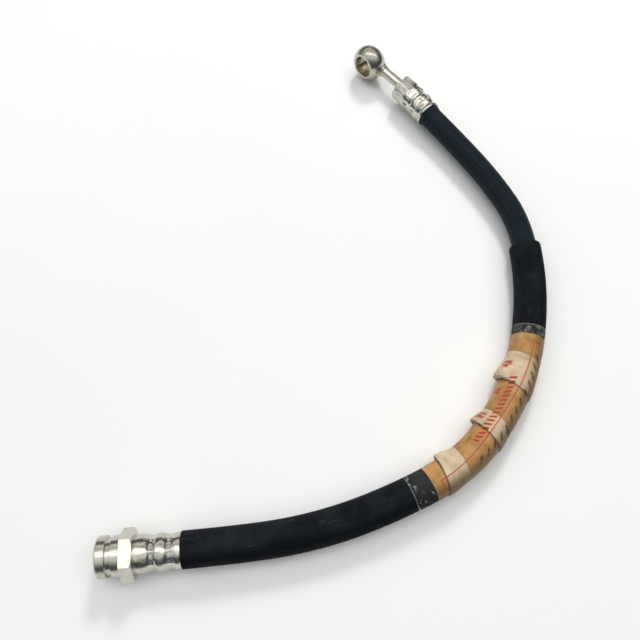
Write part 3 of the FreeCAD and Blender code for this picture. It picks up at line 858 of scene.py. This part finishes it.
def label():
    """The paper, one closed band round the sleeve."""
    ring = [
        (LABEL_START, SLEEVE_R),
        (LABEL_START, LABEL_R),
        (LABEL_END, LABEL_R),
        (LABEL_END, SLEEVE_R),
    ]

    def shape(x, r, angle):
        return r + paper_lift(x, angle)

    profile = refine(ring, 0.4 * MM)
    piece = skin("label", profile, hose_line, 144, shape)
    return settle(piece, LABEL, "label_paper", "paper_label")


def tape():
    """The tape follows the paper, and its right side stands away a little at the top."""
    inner = LABEL_R + 0.03 * MM
    ring = [
        (TAPE_START, inner),
        (TAPE_START, inner + FILM),
        (TAPE_END, inner + FILM),
        (TAPE_END, inner),
    ]

    def shape(x, r, angle):
        flap = window(np.degrees(angle), -75.0, 22.0, 20.0)
        flap = flap * window(x, FLAP_AT, 4 * MM, 5 * MM)
        return r + paper_lift(x, angle) + FLAP_HEIGHT * flap

    profile = refine(ring, 0.5 * MM)
    piece = skin("tape", profile, hose_line, 120, shape)
    return settle(piece, FILM_LOOK, "clear_film", "clear_tape")


# ------------------------------------------------------------------ the female end


def hexagon_radius(angle):
    """The hex's radius at an angle, with two flats level."""
    sixth = math.pi / 3
    return HEX_FLATS / 2 / np.cos((angle + sixth / 2) % sixth - sixth / 2)


def female_body():
    """Collar, clip groove, barrel and hex in one, with the threaded port and its seat."""
    hex_front = FEMALE_SHELL + HEX_LENGTH
    barrel_front = hex_front + BARREL_LENGTH
    groove_front = barrel_front + GROOVE_LENGTH
    front = groove_front + COLLAR_LENGTH
    floor = front - PORT_DEPTH
    corner = HEX_FLATS / 2 / math.cos(math.pi / 6)
    slope = math.tan(math.pi / 6)
    outline = [
        (FEMALE_SHELL, SHANK_R),
        (FEMALE_SHELL, corner - HEX_BEVEL),
        (FEMALE_SHELL + HEX_BEVEL * slope, corner),
        (hex_front - HEX_FRONT_BEVEL * slope, corner),
        (hex_front, corner - HEX_FRONT_BEVEL),
        (hex_front, BARREL_R),
        (barrel_front, BARREL_R),
        (barrel_front, GROOVE_R),
        (groove_front, GROOVE_R),
        (groove_front, COLLAR_R),
        (front - COLLAR_CHAMFER, COLLAR_R),
        (front, COLLAR_R - COLLAR_CHAMFER),
        (front, PORT_R + PORT_CHAMFER),
        (front - PORT_CHAMFER, PORT_R),
        (floor + RELIEF_LENGTH, PORT_R),
        (floor + RELIEF_LENGTH, RELIEF_R),
        (floor, RELIEF_R),
        (floor, SEAT_BASE_R),
        (floor + SEAT_HEIGHT, SEAT_TOP_R),
        (floor + SEAT_HEIGHT, PASSAGE_R),
        (FEMALE_SHELL + SHANK_LENGTH, PASSAGE_R),
        (FEMALE_SHELL + SHANK_LENGTH, SHANK_R),
    ]

    def shape(x, r, angle):
        in_hex = (r > COLLAR_R + 0.2 * MM) & (x < hex_front + 0.01 * MM)
        r = np.where(in_hex, np.minimum(r, hexagon_radius(angle)), r)
        wave = np.abs((x / THREAD_PITCH - angle / (2 * math.pi)) % 1.0 - 0.5) * 2
        in_port = (np.abs(r - PORT_R) < 0.01 * MM) & (x > floor + RELIEF_LENGTH + 0.2 * MM)
        return np.where(in_port, PORT_R + (THREAD_R - PORT_R) * wave, r)

    profile = refine(soften(outline, 0.18 * MM), 0.16 * MM)
    piece = skin("female_end", profile, FEMALE, 144, shape, 30.0)
    return settle(piece, STEEL["turned"], "plated_steel", "female_end_body")


def dimples(x, angle, middle, half_length, half_turn, depth):
    """One ring of crimp marks, with ridges between them: how deep they are pressed."""
    pitch = 2 * math.pi / CRIMP_COUNT
    off = angle % pitch - pitch / 2
    pressed = window(x, middle, half_length, 1.2 * MM) * window(off, 0.0, half_turn, 0.2)
    return depth * pressed


def crimped(name, line, length, outline, crimps, node):
    """A crimped shell: outline is its pressed profile, and crimps its rings of marks."""
    steps = np.linspace(0.0, length, 110)
    outer = list(zip(steps, flow(outline, steps)))
    mouth_r = COVER_R + 0.25 * MM
    inside = [
        (length, SHANK_R),
        (length - SHELL_WALL, SHANK_R),
        (length - SHELL_WALL, COVER_R + 0.02 * MM),
        (0.0, mouth_r),
    ]
    profile = [(0.0, outline[0][1] - 0.3 * MM)] + outer + inside

    def shape(x, r, angle):
        pressed = sum(dimples(x, angle, *crimp) for crimp in crimps)
        return np.where(r > mouth_r + 0.2 * MM, r - pressed, r)

    piece = skin(name, profile, line, 160, shape, 40.0)
    return settle(piece, STEEL["pressed"], "plated_steel", node)


def in_millimetres(*pairs):
    return [(x * MM, r * MM) for x, r in pairs]


def female_shell():
    outline = in_millimetres(
        (0.0, 6.55),
        (0.6, 6.75),
        (1.6, 6.65),
        (2.8, 6.35),
        (3.9, 6.2),
        (5.2, 6.5),
        (6.4, 6.85),
        (7.6, 6.95),
        (8.7, 6.8),
        (9.7, 6.45),
        (10.6, 6.3),
        (11.8, 6.65),
        (13.0, 6.95),
        (15.0, 7.0),
        (17.0, 6.95),
    )
    marks = [(m * MM, 1.1 * MM, 0.31, 0.26 * MM) for m in (4.1, 10.6)]
    return crimped("female_shell", FEMALE, FEMALE_SHELL, outline, marks, "female_crimp_shell")


def banjo_shell():
    outline = in_millimetres(
        (0.0, 6.2),
        (0.4, 6.4),
        (1.1, 6.35),
        (2.0, 5.95),
        (3.2, 6.25),
        (4.6, 6.6),
        (6.1, 6.6),
        (7.6, 6.4),
        (8.9, 5.95),
        (10.2, 6.3),
        (11.4, 6.5),
        (12.8, 6.5),
        (14.0, 6.4),
    )
    marks = [(m * MM, 1.35 * MM, 0.30, 0.4 * MM) for m in (6.0, 11.4)]
    return crimped("banjo_shell", BANJO, BANJO_SHELL, outline, marks, "banjo_crimp_shell")


# ------------------------------------------------------------------ the banjo end


def socket():
    """The block between the shell and the neck: twelve long flats and a rounded nose."""
    front = BANJO_SHELL + SOCKET_LENGTH
    nose = front - SOCKET_NOSE_LENGTH
    shoulder = SOCKET_R - SOCKET_NOSE_R
    dome = [
        (nose + SOCKET_NOSE_LENGTH * math.sin(t), SOCKET_NOSE_R + shoulder * math.cos(t))
        for t in np.linspace(0.0, math.pi / 2, 9)
    ]
    outline = [
        (BANJO_SHELL, SHANK_R),
        (BANJO_SHELL, SOCKET_R),
        *dome,
        (front, PASSAGE_R),
        (BANJO_SHELL + SHANK_LENGTH, PASSAGE_R),
        (BANJO_SHELL + SHANK_LENGTH, SHANK_R),
    ]
    pitch = 2 * math.pi / SOCKET_FLATS

    def shape(x, r, angle):
        off = (angle - SOCKET_FLAT_TURN + pitch / 2) % pitch - pitch / 2
        flat = SOCKET_FLAT_R / np.cos(off)
        return np.where(r > SOCKET_NOSE_R + 0.1 * MM, np.minimum(r, flat), r)

    profile = refine(soften(outline, 0.15 * MM), 0.4 * MM)
    piece = skin("banjo_socket_block", profile, BANJO, 144, shape, 22.0)
    return settle(piece, STEEL["forged"], "plated_steel", "banjo_socket")


def lug():
    """The locating lug: two ribs with a groove between them, running out past the nose."""
    stations = np.linspace(0.0, 1.0, 30)
    across = np.linspace(-1.0, 1.0, 41)
    rib_at = 0.58
    crowns, undersides = [], []
    for t in stations:
        x = LUG_START + LUG_LENGTH * t
        half = LUG_HALF * (1 - 0.2 * float(smooth(0.7, 1.0, t)))
        ramp = float(smooth(0.0, 0.22, t)) - 0.45 * float(smooth(0.88, 1.0, t))
        groove = LUG_GROOVE * float(smooth(0.12, 0.3, t))
        for c in across:
            hollow = abs(math.cos(c / rib_at * math.pi / 2))
            height = SOCKET_FLAT_R + (LUG_CROWN - SOCKET_FLAT_R) * ramp - groove * hollow
            crowns.append(LUG.point(x, c * half, max(height, LUG_BASE + 0.2 * MM)))
            undersides.append(LUG.point(x, c * half, LUG_BASE))
    rows, columns = len(stations), len(across)
    base = rows * columns
    faces = []
    for i in range(rows - 1):
        for j in range(columns - 1):
            corner = i * columns + j
            quad = (corner, corner + columns, corner + columns + 1, corner + 1)
            faces.append(quad)
            faces.append(tuple(base + v for v in reversed(quad)))
    rim = list(range(columns))
    rim += [i * columns + columns - 1 for i in range(1, rows)]
    rim += [(rows - 1) * columns + j for j in range(columns - 2, -1, -1)]
    rim += [i * columns for i in range(rows - 2, 0, -1)]
    for here, after in zip(rim, rim[1:] + rim[:1]):
        faces.append((after, base + after, base + here, here))
    points = [tuple(point) for point in crowns + undersides]
    piece = new_piece("locating_lug", points, faces, 40.0)
    return settle(piece, STEEL["forged"], "plated_steel", "banjo_locating_lug")


def neck():
    """The slim tube from the socket to the eye."""
    end = EYE_CENTRE - EYE_BORE_R - NECK_WALL_IN_EYE
    ring = [(0.0, NECK_BORE_R), (0.0, NECK_R), (end, NECK_R), (end, NECK_BORE_R)]
    piece = skin("neck", refine(soften(ring, 0.1 * MM), 0.6 * MM), NECK, 64)
    return settle(piece, STEEL["turned"], "plated_steel", "banjo_neck_tube")


def braze_rings():
    """A fillet of braze at each end of the neck's open stretch."""
    reach = 0.45 * MM
    places = (
        ("braze_rear", BANJO_SHELL + SOCKET_LENGTH - NECK_ROOT[0] - 0.1 * MM, 1, "rear"),
        ("braze_front", EYE_CENTRE - EYE_BOSS_LENGTH, -1, "front"),
    )
    for name, start, sign, which in places:
        fillet = [
            (start + sign * reach * (1 - math.sin(t)), NECK_R + reach * (1 - math.cos(t)))
            for t in np.linspace(math.pi / 2, 0.0, 7)
        ]
        profile = [(start, NECK_R - 0.1 * MM)] + fillet + [(fillet[-1][0], NECK_R - 0.1 * MM)]
        piece = skin(name, profile, NECK, 64)
        settle(piece, BRAZE, "braze", "banjo_braze_ring_" + which)


def eye():
    """The barrel shaped ring round the bolt's bore, turned about the bore's axis."""
    arc_centre = EYE_LAND_R - math.sqrt(EYE_BARREL_ARC**2 - EYE_HALF**2)
    half_angle = math.asin(EYE_HALF / EYE_BARREL_ARC)
    barrel = [
        (EYE_BARREL_ARC * math.sin(t), arc_centre + EYE_BARREL_ARC * math.cos(t))
        for t in np.linspace(half_angle, -half_angle, 37)
    ]
    chamfer = 0.2 * MM
    outline = barrel + [
        (-EYE_HALF, EYE_BORE_R + chamfer),
        (-EYE_HALF + chamfer, EYE_BORE_R),
        (EYE_HALF - chamfer, EYE_BORE_R),
        (EYE_HALF, EYE_BORE_R + chamfer),
    ]
    piece = skin("banjo_eye_ring", refine(outline, 0.8 * MM), EYE, 128, None, 28.0)
    return settle(piece, STEEL["eye"], "plated_steel", "banjo_eye")


def eye_boss():
    """The eye's root, where the neck goes in."""
    start = EYE_CENTRE - EYE_BOSS_LENGTH
    end = EYE_CENTRE - EYE_BORE_R - 1.2 * MM
    ring = [
        (start, NECK_R),
        (start, EYE_BOSS_R),
        (start + 1.0 * MM, EYE_BOSS_R + 0.05 * MM),
        (end, EYE_BOSS_END_R),
        (end, NECK_R),
    ]
    piece = skin("banjo_eye_boss", refine(soften(ring, 0.2 * MM), 0.5 * MM), NECK, 64)
    return settle(piece, STEEL["forged"], "plated_steel")


# ------------------------------------------------------------------ make everything

hose = hose_cover()
sleeve_piece = sleeve()
label_piece = label()
tape_piece = tape()
female_body()
female_shell()
banjo_shell()
socket()
lug()
neck()
braze_rings()
eye()
eye_boss()

for node in ("female_insert_stem", "banjo_insert_stem"):
    stem = frame["nodes"][node]
    stem.data.materials.clear()
    stem.data.materials.append(STEEL["turned"])

FEMALE.point(0.0)

# ------------------------------------------------------------------ floor and light


FLOOR_HALF = 8.0


def stage():
    """A pale sheet, wide enough to reach the horizon in low views."""
    half = FLOOR_HALF
    mesh = bpy.data.meshes.new("floor")
    mesh.from_pydata(
        [(-half, -half, 0), (half, -half, 0), (half, half, 0), (-half, half, 0)], [], [(0, 1, 2, 3)]
    )
    floor = bpy.data.objects.new("floor", mesh)
    floor.data.materials.append(floor_paper())
    bpy.context.scene.collection.objects.link(floor)


LAMP_PLACE = (0.20, 0.80, 0.80)
LAMP_SIZE = 0.23
LAMP_POWER = 4.9
LAMP_COLOUR = (1.0, 0.985, 0.965)


def key_light():
    """A soft lamp to the north, which throws the shadows but has no reflection of its own,
    because that would bleach the bright metal."""
    data = bpy.data.lights.new("key", "AREA")
    data.shape = "DISK"
    data.size = LAMP_SIZE
    data.energy = LAMP_POWER
    data.color = LAMP_COLOUR
    light = bpy.data.objects.new("key", data)
    light.visible_glossy = False
    light.location = LAMP_PLACE
    light.rotation_euler = light.location.to_track_quat("Z", "Y").to_euler()
    bpy.context.scene.collection.objects.link(light)


ROOM_LOW = (0.06, 0.075, 0.09)
ROOM_HIGH = (0.47, 0.47, 0.465)
CEILING = (0.90, 0.90, 0.88)
NORTH_GLOW = (1.15, 1.10, 0.98)
WEST_WINDOW = (0.74, 0.80, 0.86)
PANEL = (2.15, 2.14, 2.11)
BACKDROP = (0.94, 0.94, 0.93)


def world():
    """A dim room with a long white panel overhead, a pale ceiling, a glow to the north and
    a window to the west. The camera itself sees a plain pale backdrop instead."""
    made = bpy.data.worlds.new("studio")
    made.use_nodes = True
    nodes = Nodes(made.node_tree)
    place = nodes.add("ShaderNodeTexCoord")
    parts = nodes.add("ShaderNodeSeparateXYZ")
    nodes.put(parts.inputs[0], place.outputs["Generated"])
    east, north, height = parts.outputs
    raised = nodes.math("MAXIMUM", height, 0.02)
    panel = nodes.times(
        nodes.band(nodes.math("DIVIDE", north, raised), -0.05, 0.42, 0.05),
        nodes.band(nodes.math("DIVIDE", east, raised), -0.85, 0.95, 0.2),
    )
    ceiling = nodes.band(nodes.math("DIVIDE", north, raised), -0.75, 0.6, 0.9)
    aloft = nodes.step(height, 0.45, 0.85)
    west = nodes.times(nodes.band(height, 0.35, 0.68, 0.2), nodes.step(east, -0.55, -0.8))
    behind = nodes.times(nodes.band(height, 0.46, 0.64, 0.12), nodes.step(north, 0.45, 0.7))
    glow = nodes.mix(aloft, ROOM_LOW, ROOM_HIGH)
    glow = nodes.mix(nodes.times(ceiling, aloft), glow, CEILING)
    glow = nodes.mix(behind, glow, NORTH_GLOW)
    glow = nodes.mix(west, glow, WEST_WINDOW)
    glow = nodes.mix(panel, glow, PANEL)
    sight = nodes.add("ShaderNodeLightPath").outputs["Is Camera Ray"]
    background = made.node_tree.nodes["Background"]
    nodes.put(background.inputs["Color"], nodes.mix(sight, glow, BACKDROP))
    background.inputs["Strength"].default_value = 1.0
    bpy.context.scene.world = made


stage()
world()
key_light()
bpy.context.scene.view_settings.view_transform = "Standard"
